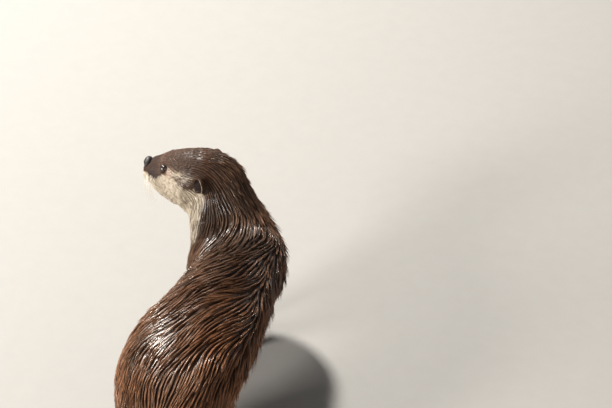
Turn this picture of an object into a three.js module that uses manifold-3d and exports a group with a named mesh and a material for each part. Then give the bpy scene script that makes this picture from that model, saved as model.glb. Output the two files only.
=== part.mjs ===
// A river otter on all fours, neck raised and head turned to its left, at life size.
// Millimetres, +Z up. The trunk faces +Y and the head looks along -X. The origin is on the floor,
// in the middle of the animal's bounding box.
import * as THREE from "three";
import { mergeVertices } from "three/addons/utils/BufferGeometryUtils.js";
import Module from "manifold-3d";

const wasm = await Module();
wasm.setup();

const GAP = 0.35; // clearance between neighbouring pieces
const TRIM = 0.15; // how far a facet may move when slivers left by a cut are merged
const SIDES = [
  ["left", -1],
  ["right", 1],
];

const point = (x, y, z) => new THREE.Vector3(x, y, z);
const X = point(1, 0, 0);
const Y = point(0, 1, 0);
const Z = point(0, 0, 1);
const radians = THREE.MathUtils.degToRad;

// ---------------------------------------------------------------- driving sizes

// The spine: where each station is, and how far the body reaches from it to the sides, up and down.
const TORSO = [
  { at: point(14, -66, 122), side: 42, up: 38, down: 36 }, // tail root
  { at: point(15, -22, 142), side: 66, up: 56, down: 56 }, // rump
  { at: point(11.5, 34, 153), side: 82, up: 62, down: 66 }, // hips
  { at: point(14, 86, 160), side: 82, up: 63, down: 72 }, // loin
  { at: point(21, 140, 160), side: 74, up: 61, down: 71 }, // waist
  { at: point(19.5, 204, 149), side: 66.5, up: 60, down: 67 }, // ribs
  { at: point(17, 260, 136), side: 60, up: 59, down: 62 }, // withers
  { at: point(7.5, 318, 124), side: 61.5, up: 58, down: 57 }, // shoulders
];
const NECK = [
  { at: point(5.5, 306, 124), side: 58.5, up: 56, down: 56 }, // between the shoulders
  { at: point(-9, 338, 140), side: 59, up: 54, down: 56 }, // base of the neck
  { at: point(-26, 352, 174), side: 53, up: 46, down: 51 }, // neck
  { at: point(-43, 371, 211), side: 41, up: 35, down: 43 }, // first neck bone
];
const NECK_ROOT = { at: point(-2, 326, 134), facing: point(-0.2, 0.8, 0.57) };

// Which way the rings of facets face, from the tail root to the skull. They turn more gently than
// the spine does at the shoulders, so that no two of them cross inside the body.
const FACINGS = [
  point(0, 1, 0.4),
  point(0, 1, 0.25),
  point(0, 1, 0.1),
  point(0, 1, 0),
  point(0, 1, -0.03),
  point(-0.03, 1, 0),
  point(-0.06, 1, 0.12),
  point(-0.12, 0.9, 0.42),
  point(-0.15, 0.75, 0.62),
  point(-0.25, 0.5, 0.83),
  point(-0.35, 0.35, 0.87),
];

const TAIL = [
  { at: point(14, -46, 134), side: 44, up: 38, down: 36 },
  { at: point(9, -104, 96), side: 38, up: 32, down: 31 },
  { at: point(-1, -164, 52), side: 31, up: 25, down: 25 },
  { at: point(-13, -228, 24), side: 26, up: 20, down: 20 },
  { at: point(-18, -297, 14), side: 20, up: 14, down: 14 },
  { at: point(-6, -366, 10), side: 13, up: 10, down: 10 },
  { at: point(20, -424, 6), side: 6, up: 5.5, down: 6 },
];

// The head's own frame: forward to the nose, left, and up to the crown, from the first neck bone.
const HEAD = {
  at: point(-41.5, 373, 214),
  forward: point(-0.997, -0.04, 0.06).normalize(),
  roll: radians(10), // the left cheek is raised by this much
};

const EYE = { ahead: 74, out: 24, over: 12.5, radius: 5.8 };
const EAR = { ahead: 18.5, out: 46.5, over: 8.5, height: 12, width: 9.5, depth: 5 };
const NOSE = { ahead: 102.5, over: 5, long: 6.5, wide: 11.5, high: 8.5 };

const FORELEG = {
  middle: -1,
  joints: [point(35, 304, 110), point(39, 276, 72), point(22, 284, 28)],
  radii: [31, 22, 16],
  paw: { length: 52, width: 24, height: 13, toe: 23, toeRadius: 6.8, spread: 12 },
};
const HINDLEG = {
  middle: 10,
  joints: [point(32, 6, 122), point(41, 56, 84), point(39, -10, 36)],
  radii: [43, 28, 16],
  paw: { length: 100, width: 27, height: 15, toe: 36, toeRadius: 7.4, spread: 13 },
};
// How far each foot stands to the right and ahead of its place above.
const STRIDE = { left_fore: [-5, 14], right_fore: [-9, -6], left_hind: [0, -8], right_hind: [0, 8] };
const CLAW = { length: 9, root: 2.3, tip: 0.7 };

// ---------------------------------------------------------------- fields: distance to a soft shape

// A limb of two radii between two points.
const limb = (a, b, ra, rb) => {
  const along = b.clone().sub(a);
  return (p) => {
    const share = THREE.MathUtils.clamp(p.clone().sub(a).dot(along) / along.lengthSq(), 0, 1);
    return p.distanceTo(a.clone().addScaledVector(along, share)) - THREE.MathUtils.lerp(ra, rb, share);
  };
};

// An ellipsoid whose half axes lie along three given directions.
const ellipsoid = (centre, axes, radii) => (p) => {
  const offset = p.clone().sub(centre);
  const local = axes.map((axis) => offset.dot(axis));
  const near = Math.hypot(...local.map((v, i) => v / radii[i]));
  const slope = Math.hypot(...local.map((v, i) => v / radii[i] ** 2));
  return slope < 1e-9 ? -Math.min(...radii) : (near * (near - 1)) / slope;
};

// A tube along stations, with its own reach to the sides, up and down.
const SAMPLES = 160;
const tube = (stations) => {
  const spine = new THREE.CatmullRomCurve3(stations.map((s) => s.at));
  const reach = new THREE.CatmullRomCurve3(stations.map((s) => point(s.side, s.up, s.down)));
  const samples = Array.from({ length: SAMPLES + 1 }, (_, i) => {
    const share = i / SAMPLES;
    const tangent = spine.getTangent(share);
    const side = tangent.clone().cross(point(0, 0, 1)).normalize();
    const up = side.clone().cross(tangent);
    return { at: spine.getPoint(share), tangent, side, up, reach: reach.getPoint(share) };
  });
  const field = (p) => {
    const s = samples.reduce((best, x) =>
      x.at.distanceToSquared(p) < best.at.distanceToSquared(p) ? x : best,
    );
    const offset = p.clone().sub(s.at);
    const [x, y, z] = [offset.dot(s.side), offset.dot(s.up), offset.dot(s.tangent)];
    const height = y > 0 ? s.reach.y : s.reach.z;
    const least = Math.min(s.reach.x, height);
    return (Math.hypot(x / s.reach.x, y / height, z / least) - 1) * least;
  };
  return { spine, field };
};

const smoothMin = (a, b, k) => {
  const h = Math.max(k - Math.abs(a - b), 0) / k;
  return Math.min(a, b) - (h * h * k) / 4;
};
const blend = (k, ...fields) => (p) => fields.map((f) => f(p)).reduce((a, b) => smoothMin(a, b, k));

// ---------------------------------------------------------------- closed meshes over a field

// How far a ray runs from inside a field to its surface.
const MARCH = 3;
function rayLength(field, from, direction) {
  const value = (t) => field(from.clone().addScaledVector(direction, t));
  let far = 0;
  while (value(far) < 0 && far < 400) far += MARCH;
  let near = Math.max(far - MARCH, 0);
  for (let i = 0; i < 14; i++) {
    const middle = (near + far) / 2;
    if (value(middle) < 0) near = middle;
    else far = middle;
  }
  return near;
}

// The frames of the rings along a curve, when the way they face is given for each of its points.
function turnedFrames(curve, facings, rings) {
  const turn = new THREE.CatmullRomCurve3(facings);
  const tangents = Array.from({ length: rings + 1 }, (_, i) =>
    turn.getPoint(curve.getUtoTmapping(i / rings)).normalize(),
  );
  const normals = tangents.map((t) => X.clone().addScaledVector(t, -t.x).normalize());
  return { tangents, normals, binormals: tangents.map((t, i) => t.clone().cross(normals[i])) };
}

// Rings of rays round a curve, fanned out over each end to a pole, stopped where they meet the field.
function wrap(curve, field, { rings, sides, cap, facings }) {
  const frames = facings ? turnedFrames(curve, facings, rings) : curve.computeFrenetFrames(rings, false);
  const ring = (i, tilt) => ({ from: curve.getPointAt(i / rings), i, tilt });
  const quarter = Math.PI / 2;
  const rows = [
    ...Array.from({ length: cap - 1 }, (_, i) => ring(0, -quarter * (1 - (i + 1) / cap))),
    ...Array.from({ length: rings + 1 }, (_, i) => ring(i, 0)),
    ...Array.from({ length: cap - 1 }, (_, i) => ring(rings, (quarter * (i + 1)) / cap)),
  ];
  const positions = [];
  const shoot = (from, direction) => {
    const hit = from.clone().addScaledVector(direction, rayLength(field, from, direction));
    positions.push(hit.x, hit.y, hit.z);
  };
  for (const { from, i, tilt } of rows) {
    for (let j = 0; j < sides; j++) {
      const angle = (2 * Math.PI * j) / sides;
      const direction = frames.normals[i]
        .clone()
        .multiplyScalar(Math.cos(angle) * Math.cos(tilt))
        .addScaledVector(frames.binormals[i], Math.sin(angle) * Math.cos(tilt))
        .addScaledVector(frames.tangents[i], Math.sin(tilt));
      shoot(from, direction);
    }
  }
  shoot(curve.getPointAt(0), frames.tangents[0].clone().negate());
  shoot(curve.getPointAt(1), frames.tangents[rings].clone());
  const [startPole, endPole] = [rows.length * sides, rows.length * sides + 1];
  const index = [];
  for (let j = 0; j < sides; j++) {
    const k = (j + 1) % sides;
    for (let r = 0; r < rows.length - 1; r++) {
      const [a, b] = [r * sides + j, r * sides + k];
      index.push(a, b, b + sides, a, b + sides, a + sides);
    }
    const last = (rows.length - 1) * sides;
    index.push(startPole, k, j, endPole, last + j, last + k);
  }
  return new THREE.BufferGeometry()
    .setAttribute("position", new THREE.Float32BufferAttribute(positions, 3))
    .setIndex(index);
}

function solid(geometry) {
  const bare = geometry.clone();
  bare.deleteAttribute("normal");
  bare.deleteAttribute("uv");
  const merged = mergeVertices(bare, 1e-3);
  return new wasm.Manifold(
    new wasm.Mesh({
      numProp: 3,
      vertProperties: new Float32Array(merged.attributes.position.array),
      triVerts: new Uint32Array(merged.index.array),
    }),
  );
}

function toGeometry(made) {
  const mesh = made.getMesh();
  const geometry = new THREE.BufferGeometry()
    .setAttribute("position", new THREE.BufferAttribute(Float32Array.from(mesh.vertProperties), 3))
    .setIndex(new THREE.BufferAttribute(Uint32Array.from(mesh.triVerts), 1));
  geometry.computeVertexNormals();
  return geometry;
}

// A solid, and the same solid grown by the gap, which cuts its neighbours.
function withCutter(made) {
  const skin = toGeometry(made);
  const { position, normal } = skin.attributes;
  for (let i = 0; i < position.count; i++) {
    const out = point(0, 0, 0).fromBufferAttribute(normal, i).multiplyScalar(GAP);
    out.add(point(0, 0, 0).fromBufferAttribute(position, i));
    position.setXYZ(i, out.x, out.y, out.z);
  }
  return { solid: made, cutter: solid(skin) };
}
const shape = (curve, field, detail) => withCutter(solid(wrap(curve, field, detail)));

const line = (...points) => new THREE.CatmullRomCurve3(points);

// ---------------------------------------------------------------- trunk, neck and tail

const mirror = (p, side, middle) => point(middle + p.x * side, p.y, p.z);

const torsoTube = tube(TORSO);
const neckTube = tube(NECK);
const tailTube = tube(TAIL);

// A muscle that spans two points and swells between them.
function muscle(a, b, thickness) {
  const along = b.clone().sub(a);
  const half = along.length() / 2;
  along.normalize();
  const across = along.clone().cross(X).normalize();
  return ellipsoid(a.clone().lerp(b, 0.5), [along, across, along.clone().cross(across)], [
    half + thickness.ends,
    thickness.deep,
    thickness.wide,
  ]);
}

const shoulderBlades = SIDES.map(([, side]) =>
  muscle(mirror(point(26, 284, 146), side, FORELEG.middle), mirror(point(36, 304, 106), side, FORELEG.middle), {
    ends: 26,
    deep: 36,
    wide: 24,
  }),
);
const trunkField = blend(24, torsoTube.field, neckTube.field, ...shoulderBlades);

const trunkLine = line(...TORSO.map((s) => s.at), ...NECK.slice(1).map((s) => s.at));
const trunk = shape(trunkLine, trunkField, { rings: 24, sides: 20, cap: 4, facings: FACINGS });

const tail = shape(tailTube.spine, tailTube.field, { rings: 13, sides: 12, cap: 2 });

// ---------------------------------------------------------------- head

const forward = HEAD.forward.clone();
const levelLeft = Z.clone().cross(forward).normalize();
const levelUp = forward.clone().cross(levelLeft);
const headLeft = levelLeft.clone().applyAxisAngle(forward, HEAD.roll);
const headUp = levelUp.clone().applyAxisAngle(forward, HEAD.roll);
const HEAD_AXES = [forward, headLeft, headUp];

// A place in the head: ahead of the first neck bone, out to the left, and over the axis.
const inHead = (ahead, out, over) =>
  HEAD.at
    .clone()
    .addScaledVector(forward, ahead)
    .addScaledVector(headLeft, out)
    .addScaledVector(headUp, over);
const headBlob = (place, radii) => ellipsoid(inHead(...place), HEAD_AXES, radii);
const pair = (make) => [make(1), make(-1)];

const headField = blend(
  14,
  headBlob([24, 0, 1], [50, 42, 38]), // brain case
  headBlob([50, 0, 2.5], [33, 30, 26]), // brow
  limb(inHead(60, 0, -3), inHead(93, 0, -3), 26, 15), // muzzle
  limb(inHead(24, 0, -36), inHead(82, 0, -28.5), 30, 14), // lower jaw and throat
  ...pair((side) => headBlob([40, 24 * side, -8], [34, 23, 25])), // cheeks
  ...pair((side) => headBlob([72, 18.5 * side, 6.5], [15, 9.5, 10.5])), // rims of the eyes
  ...pair((side) => headBlob([91, 11.5 * side, -7], [13.5, 12, 11])), // whisker pads
  limb(inHead(-5, 0, -1), inHead(10, 0, -2), 34, 38), // nape
);
const headLine = line(inHead(6, 0, -2), inHead(45, 0, -3), inHead(84, 0, -3));
const head = shape(headLine, headField, { rings: 9, sides: 18, cap: 4 });

const nosePad = shape(
  line(inHead(NOSE.ahead - 3, 0, NOSE.over), inHead(NOSE.ahead + 1, 0, NOSE.over)),
  headBlob([NOSE.ahead, 0, NOSE.over], [NOSE.long, NOSE.wide, NOSE.high]),
  { rings: 1, sides: 12, cap: 3 },
);

const ball = (centre, radius) =>
  solid(new THREE.SphereGeometry(radius, 10, 8).translate(centre.x, centre.y, centre.z));

// A cupped ear that opens forwards and outwards.
function ear(side) {
  const centre = inHead(EAR.ahead, EAR.out * side, EAR.over);
  const out = headLeft.clone().multiplyScalar(side);
  const opens = forward.clone().multiplyScalar(0.55).addScaledVector(out, 0.83).normalize();
  const up = headUp.clone().addScaledVector(out, 0.25);
  up.addScaledVector(opens, -up.dot(opens)).normalize();
  const axes = [opens, up.clone().cross(opens), up];
  const outer = ellipsoid(centre, axes, [EAR.depth, EAR.width, EAR.height]);
  const hollow = centre.clone().addScaledVector(opens, 5.4);
  const inner = ellipsoid(hollow, axes, [5, EAR.width - 3, EAR.height - 3.2]);
  const along = (c) => line(c.clone().addScaledVector(up, -2), c.clone().addScaledVector(up, 2));
  const detail = { rings: 1, sides: 10, cap: 3 };
  return solid(wrap(along(centre), outer, detail)).subtract(solid(wrap(along(hollow), inner, detail)));
}

// ---------------------------------------------------------------- legs, paws and claws

function leg(side, sizes, stride) {
  const [top, middle, low] = sizes.joints.map((p, i) =>
    point(sizes.middle + p.x * side + (stride[0] * i) / 2, p.y + (stride[1] * i) / 2, p.z),
  );
  const [r0, r1, r2] = sizes.radii;
  const upper = limb(top, middle, r0, r1);
  const lower = blend(14, limb(middle, low, r1 * 0.92, r2), limb(top, middle, r1, r1));
  return {
    low,
    upper: shape(line(top, middle), upper, { rings: 2, sides: 11, cap: 2 }),
    lower: shape(line(middle, low), lower, { rings: 3, sides: 10, cap: 2 }),
  };
}

// A five-toed webbed paw, flat on the floor, with its claws as pieces of their own.
const TOES = 5;
function paw(side, ankle, sizes) {
  const sole = sizes.height * 0.72;
  const heel = point(ankle.x, ankle.y + (sizes.length > 80 ? -8 : -2), sole);
  const knuckles = heel.clone().add(point(3 * side, sizes.length - sizes.toe, -2));
  const palm = limb(heel, knuckles, sizes.height, sizes.height);
  const flat = ellipsoid(heel.clone().lerp(knuckles, 0.62), [X, Y, Z], [
    sizes.width,
    sizes.length * 0.48,
    sizes.height * 0.8,
  ]);
  const cuff = limb(ankle, heel, sizes.height * 1.15, sizes.height);
  let solidPaw = shape(
    line(heel.clone().add(point(0, -2, 0)), knuckles),
    blend(12, palm, flat, cuff),
    { rings: 3, sides: 10, cap: 2 },
  );
  let [body, cutter] = [solidPaw.solid, solidPaw.cutter];
  const claws = [];
  for (let i = 0; i < TOES; i++) {
    const turn = radians((i - 2) * sizes.spread) * side;
    const heading = point(Math.sin(turn), Math.cos(turn), 0);
    const length = sizes.toe * (1 - 0.09 * Math.abs(i - 2.3));
    const root = knuckles.clone().add(point(heading.x * sizes.width * 0.9, heading.y * 4 - 6, 0));
    const tip = root.clone().addScaledVector(heading, length);
    tip.z = sizes.toeRadius - 0.9;
    const toe = shape(
      line(root, tip),
      limb(root, tip, sizes.toeRadius * 1.05, sizes.toeRadius * 0.88),
      { rings: 1, sides: 6, cap: 1 },
    );
    body = body.add(toe.solid);
    cutter = cutter.add(toe.cutter);
    const clawRoot = tip.clone().addScaledVector(heading, sizes.toeRadius * 0.35).add(point(0, 0, 1.6));
    const clawTip = clawRoot.clone().addScaledVector(heading, CLAW.length).add(point(0, 0, -4.6));
    const crook = clawRoot.clone().lerp(clawTip, 0.55).add(point(0, 0, 1.6));
    claws.push(
      shape(
        line(clawRoot, crook, clawTip),
        blend(2, limb(clawRoot, crook, CLAW.root, CLAW.root * 0.75), limb(crook, clawTip, CLAW.root * 0.75, CLAW.tip)),
        { rings: 2, sides: 5, cap: 1 },
      ),
    );
  }
  return { body, cutter, claws };
}

// ---------------------------------------------------------------- assembly

const COLOURS = {
  brown: { color: 0x3a291f, roughness: 0.55, metalness: 0 },
  pale: { color: 0xa9977b, roughness: 0.6, metalness: 0 },
  nose: { color: 0x1d1819, roughness: 0.35, metalness: 0 },
  eye: { color: 0x120d0b, roughness: 0.08, metalness: 0 },
  claw: { color: 0x5b4a3c, roughness: 0.4, metalness: 0 },
};
const materials = Object.fromEntries(
  Object.entries(COLOURS).map(([name, look]) => [name, new THREE.MeshStandardMaterial(look)]),
);

const otter = new THREE.Group();

// The largest body of a cut solid: slivers that a cut leaves behind are dropped.
function mainBody(made) {
  return made.decompose().reduce((a, b) => (b.volume() > a.volume() ? b : a));
}

function add(name, made, material) {
  const piece = new THREE.Mesh(toGeometry(mainBody(made.simplify(TRIM))), materials[material]);
  piece.name = name;
  otter.add(piece);
}

const onFloor = (made) => made.trimByPlane([0, 0, 1], 0);

// Parts a solid by planes, one after another, into named lengths.
function addLengths(names, made, planes, material) {
  let rest = made;
  planes.forEach(({ at, facing }, i) => {
    const normal = facing.clone().normalize();
    const level = at.dot(normal);
    add(names[i], rest.trimByPlane(normal.clone().negate().toArray(), GAP / 2 - level), material);
    rest = rest.trimByPlane(normal.toArray(), level + GAP / 2);
  });
  add(names.at(-1), rest, material);
}

// The plane across a spine at a station, given as a number that may fall between two.
function across(spine, stations, i) {
  const share = i / (stations.length - 1);
  return { at: spine.getPoint(share), facing: spine.getTangent(share) };
}

// Trunk and neck in four lengths.
addLengths(
  ["rump", "loin", "chest", "neck"],
  trunk.solid,
  [across(torsoTube.spine, TORSO, 2.4), across(torsoTube.spine, TORSO, 4.6), NECK_ROOT],
  "brown",
);

// Tail in three lengths, lying on the floor.
addLengths(
  ["tail_base", "tail_middle", "tail_tip"],
  onFloor(tail.solid.subtract(trunk.cutter)),
  [across(tailTube.spine, TAIL, 2.2), across(tailTube.spine, TAIL, 4.1)],
  "brown",
);

// Head, with its nose pad, eyes and ears.
const eyeAt = (side) => inHead(EYE.ahead, EYE.out * side, EYE.over);
let skull = head.solid.subtract(trunk.cutter).subtract(nosePad.cutter);
for (const [name, outwards] of [
  ["left", 1],
  ["right", -1],
]) {
  skull = skull.subtract(ball(eyeAt(outwards), EYE.radius + GAP));
  add(`${name}_eye`, ball(eyeAt(outwards), EYE.radius), "eye");
  add(`${name}_ear`, ear(outwards).subtract(head.cutter).subtract(trunk.cutter), "brown");
}
add("head", skull, "brown");
add("nose", nosePad.solid, "nose");

// Four legs, each with an upper and a lower length, a paw and five claws.
const LEGS = {
  fore: { names: ["upper_arm", "forearm", "forepaw"], sizes: FORELEG },
  hind: { names: ["thigh", "shank", "hind_foot"], sizes: HINDLEG },
};
for (const [sideName, side] of SIDES) {
  for (const [end, { names, sizes }] of Object.entries(LEGS)) {
    const made = leg(side, sizes, STRIDE[`${sideName}_${end}`]);
    const foot = paw(side, made.low, sizes.paw);
    const [upper, lower, last] = names.map((n) => `${sideName}_${n}`);
    add(upper, made.upper.solid.subtract(trunk.cutter).subtract(tail.cutter), "brown");
    add(
      lower,
      made.lower.solid.subtract(made.upper.cutter).subtract(trunk.cutter).subtract(foot.cutter),
      "brown",
    );
    let pawSolid = foot.body;
    foot.claws.forEach((claw, i) => {
      add(`${last}_claw_${i + 1}`, claw.solid, "claw");
      pawSolid = pawSolid.subtract(claw.cutter);
    });
    add(last, onFloor(pawSolid), "brown");
  }
}

// The origin goes to the middle of the box, on the floor.
const box = new THREE.Box3().setFromObject(otter, true);
const middle = box.getCenter(point(0, 0, 0));
otter.position.set(-middle.x, -middle.y, -box.min.z);

export default otter;
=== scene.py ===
"""A river otter at life size, standing on all fours with its neck raised and its head turned left.

Places are given in millimetres in the animal's own lay-out, as the solids are, and `place` turns
them into metres in the frame. One skin stands for all the flesh, and the wet coat lies over it in
clumps of solid locks that run from the nose to the tail and down the legs.
"""
import itertools
import math

import bmesh
import bpy
import numpy as np
from mathutils import Matrix, Vector
from mathutils.bvhtree import BVHTree


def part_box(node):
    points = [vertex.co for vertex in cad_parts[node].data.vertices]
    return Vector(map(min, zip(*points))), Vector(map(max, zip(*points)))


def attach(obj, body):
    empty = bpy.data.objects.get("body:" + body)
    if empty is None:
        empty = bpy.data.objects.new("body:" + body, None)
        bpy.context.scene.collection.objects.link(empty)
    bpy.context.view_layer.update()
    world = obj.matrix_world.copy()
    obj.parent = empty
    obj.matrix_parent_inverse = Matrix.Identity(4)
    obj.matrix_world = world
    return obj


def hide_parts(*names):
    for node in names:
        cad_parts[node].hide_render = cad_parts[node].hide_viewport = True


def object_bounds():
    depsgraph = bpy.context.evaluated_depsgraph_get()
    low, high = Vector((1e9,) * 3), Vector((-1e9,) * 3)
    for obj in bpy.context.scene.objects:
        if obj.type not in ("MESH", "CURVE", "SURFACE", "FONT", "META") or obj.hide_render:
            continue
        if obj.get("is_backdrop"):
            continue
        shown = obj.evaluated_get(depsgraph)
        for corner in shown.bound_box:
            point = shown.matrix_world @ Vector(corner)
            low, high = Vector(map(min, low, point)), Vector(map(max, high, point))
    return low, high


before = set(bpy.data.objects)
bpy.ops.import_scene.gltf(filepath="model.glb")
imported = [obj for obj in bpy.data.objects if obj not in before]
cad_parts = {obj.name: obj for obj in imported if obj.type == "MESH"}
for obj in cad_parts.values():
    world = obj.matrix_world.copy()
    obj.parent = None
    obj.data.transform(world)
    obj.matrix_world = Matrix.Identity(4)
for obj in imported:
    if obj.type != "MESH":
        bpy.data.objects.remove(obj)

CAD_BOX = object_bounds()
RNG = np.random.default_rng(7)


def unit(v):
    v = np.asarray(v, float)
    return v / np.maximum(np.linalg.norm(v, axis=-1, keepdims=True), 1e-12)


def norm(v):
    """How long each of the vectors is."""
    return np.linalg.norm(v, axis=-1)


def smoothstep(low, high, x):
    t = np.clip((np.asarray(x, float) - low) / (high - low), 0, 1)
    return t * t * (3 - 2 * t)


def hill(*slopes):
    """A smooth hill, 1 at its top: each slope is a set of values, where the top is and how wide."""
    return np.exp(-sum(((x - top) / wide) ** 2 for x, top, wide in slopes))


# ---- the head's own frame

HEAD_AT = np.array((-41.5, 373.0, 214.0))
FORWARD = unit((-0.997, -0.04, 0.06))
ROLL = math.radians(10)
EYE = dict(ahead=74, out=24, over=12.5, radius=5.8)
EAR = dict(ahead=18.5, out=46.5, over=8.5, height=12, width=9.5)
NOSE = dict(ahead=102.5, over=5)
NOSE_SEAT, NOSE_SIZE = (103.5, 0, 5), (10, 12, 9)  # the bare skin that the nose pad sits on
HEAD_REACH = 125  # from the head's middle to the nose's tip and beyond
SIGN = dict(left=1, right=-1)  # of a distance out from the head's middle

LEVEL_LEFT = unit(np.cross((0, 0, 1), FORWARD))
LEVEL_UP = np.cross(FORWARD, LEVEL_LEFT)
HEAD_LEFT = LEVEL_LEFT * math.cos(ROLL) + np.cross(FORWARD, LEVEL_LEFT) * math.sin(ROLL)
HEAD_UP = LEVEL_UP * math.cos(ROLL) + np.cross(FORWARD, LEVEL_UP) * math.sin(ROLL)
HEAD_AXES = np.array((FORWARD, HEAD_LEFT, HEAD_UP))


def head_way(ahead, out, over):
    """Ways in the lay-out from ways in the head's own frame."""
    return np.stack((ahead, out, over), axis=-1).astype(float) @ HEAD_AXES


def in_head(ahead, out, over):
    """Places in the lay-out from places in the head's own frame."""
    return HEAD_AT + head_way(ahead, out, over)


def to_head(p):
    """Places as seen from the head: ahead, out to the left, over."""
    return (np.asarray(p) - HEAD_AT) @ HEAD_AXES.T


def in_reach(p):
    """Whether each place is near enough the head's middle to be part of the head."""
    return norm(to_head(p)) < HEAD_REACH


# The lay-out sits in the frame with its left eye where the solid's left eye is.
eye_low, eye_high = (np.array(c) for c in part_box("left_eye"))
SHIFT = (eye_low + eye_high) * 500 - in_head(EYE["ahead"], EYE["out"], EYE["over"])


def place(p):
    """Millimetres in the lay-out to metres in the frame."""
    return (np.asarray(p, float) + SHIFT) / 1000


def unplace(p):
    """Metres in the frame to millimetres in the lay-out."""
    return np.asarray(p, float) * 1000 - SHIFT


# ---- camera, floor and light

VIEW = dict(azimuth=17, elevation=39, distance=3.6)
IMAGE = (612, 408)  # the width and height of what the camera sees, in small steps
WIDTH_AT_ONE_METRE = 845 / 3600  # how wide the camera sees, for each metre from it
SENSOR = 36
SHOULDERS = np.array((4, 312, 124))
SHOULDERS_SEEN = (238, 263)  # steps from the left and from the top


def set_camera():
    turn, rise = math.radians(VIEW["azimuth"]), math.radians(VIEW["elevation"])
    right = np.array((math.cos(turn), math.sin(turn), 0))
    level = math.cos(rise) * np.array((-math.sin(turn), math.cos(turn), 0))
    ahead = level - (0, 0, math.sin(rise))
    up = np.cross(right, ahead)
    across = (SHOULDERS_SEEN[0] / IMAGE[0] - 0.5) * WIDTH_AT_ONE_METRE
    above = (IMAGE[1] / 2 - SHOULDERS_SEEN[1]) / IMAGE[0] * WIDTH_AT_ONE_METRE
    at = place(SHOULDERS) - VIEW["distance"] * (ahead + across * right + above * up)
    data = bpy.data.cameras.new("camera")
    data.sensor_width = SENSOR
    data.lens = SENSOR / WIDTH_AT_ONE_METRE
    camera = bpy.data.objects.new("camera", data)
    matrix = Matrix((right, up, -ahead)).transposed().to_4x4()
    matrix.translation = Vector(at)
    camera.matrix_world = matrix
    bpy.context.scene.collection.objects.link(camera)
    bpy.context.scene.camera = camera


def add_light(name, at, aim, size, power, colour):
    """A square light of `size` metres and `power` watts."""
    data = bpy.data.lights.new(name, "AREA")
    data.shape = "SQUARE"
    data.size = size
    data.energy = power
    data.color = colour
    light = bpy.data.objects.new(name, data)
    light.location = at
    light.rotation_euler = (Vector(aim) - Vector(at)).to_track_quat("-Z", "Y").to_euler()
    bpy.context.scene.collection.objects.link(light)


set_camera()
bpy.context.scene.view_settings.view_transform = "Standard"
add_light("key", (-1.7, 2.0, 2.7), (0, 0.15, 0.15), 0.4, 330, (1.0, 0.96, 0.9))
add_light("left", (-2.2, -2.2, 1.5), (0, 0.1, 0.15), 0.9, 215, (1.0, 0.95, 0.90))
add_light("fill", (2.2, -1.6, 1.6), (0, 0, 0.1), 2.0, 20, (1.0, 0.90, 0.80))

world = bpy.data.worlds.new("studio")
world.use_nodes = True
sky = world.node_tree.nodes["Background"].inputs
sky["Color"].default_value, sky["Strength"].default_value = (0.97, 0.98, 1.0, 1), 0.20
bpy.context.scene.world = world


# ---- materials


class Wire:
    """A socket of a node tree that takes part in sums."""

    def __init__(self, finish, socket):
        self.finish, self.socket = finish, socket

    def sum(self, operation, a, b):
        return self.finish.add("Math", {"operation": operation}, {0: a, 1: b})

    def __add__(self, other):
        return self.sum("ADD", self, other)

    def __mul__(self, other):
        return self.sum("MULTIPLY", self, other)

    def __pow__(self, other):
        return self.sum("POWER", self, other)

    def __radd__(self, other):
        return self.sum("ADD", other, self)

    def __rsub__(self, other):
        return self.sum("SUBTRACT", other, self)

    def __rmul__(self, other):
        return self.sum("MULTIPLY", other, self)


class Finish:
    """A material with one shader, whose other nodes are added by type, settings and inputs."""

    def __init__(self, name, roughness, **constants):
        self.material = bpy.data.materials.new(name)
        self.material.use_nodes = True
        self.nodes = self.material.node_tree.nodes
        self.links = self.material.node_tree.links
        self.shader = self.nodes["Principled BSDF"]
        self.shader.inputs["Roughness"].default_value = roughness
        for socket, value in constants.items():
            self.shader.inputs[socket.replace("_", " ")].default_value = value

    def add(self, kind, settings, inputs, output=0):
        node = self.nodes.new("ShaderNode" + kind)
        for key, value in settings.items():
            if key == "stops":
                ramp = node.color_ramp
                while len(ramp.elements) < len(value):
                    ramp.elements.new(0.5)
                for element, (at, colour) in zip(ramp.elements, value):
                    element.position, element.color = at, (*colour, 1)
            else:
                setattr(node, key, value)
        for key, value in inputs.items():
            if isinstance(value, Wire):
                self.links.new(value.socket, node.inputs[key])
            else:
                node.inputs[key].default_value = value
        return Wire(self, node.outputs[output])

    def mix(self, share, a, b):
        """Colour a where share is 0, b where it is 1."""
        a, b = (c if isinstance(c, Wire) else (*c, 1) for c in (a, b))
        return self.add("Mix", {"data_type": "RGBA"}, {0: share, 6: a, 7: b}, output=2)

    def mark(self, name):
        """A number that the mesh carries at each of its points."""
        return self.add("Attribute", {"attribute_name": name}, {}, output=2)

    def spot(self):
        """The place in the object's own coordinates."""
        return self.add("TexCoord", {}, {}, output=3)

    def grain(self, scale):
        inputs = {"Vector": self.spot(), "Scale": scale, "Detail": 3.0, "Roughness": 0.6}
        return self.add("TexNoise", {}, inputs)

    def feed(self, socket, wire):
        self.links.new(wire.socket, self.shader.inputs[socket])

    def bump(self, height, strength, distance):
        inputs = {"Strength": strength, "Distance": distance, "Height": height}
        self.feed("Normal", self.add("Bump", {}, inputs))


# The coat's colours, each first dark, as painted shade in the gaps between the hairs, then on the
# hairs; then the bare skin's.
BROWN = ((0.006, 0.0024, 0.0013), (0.290, 0.160, 0.092))
CHESTNUT = ((0.009, 0.0030, 0.0012), (0.42, 0.170, 0.064))
CREAM = ((0.21, 0.165, 0.115), (0.76, 0.67, 0.53))
UMBER_SKIN = (0.020, 0.013, 0.011)
SLATE_SKIN = (0.040, 0.030, 0.028)
ROSE_SKIN = (0.34, 0.20, 0.16)


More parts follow.
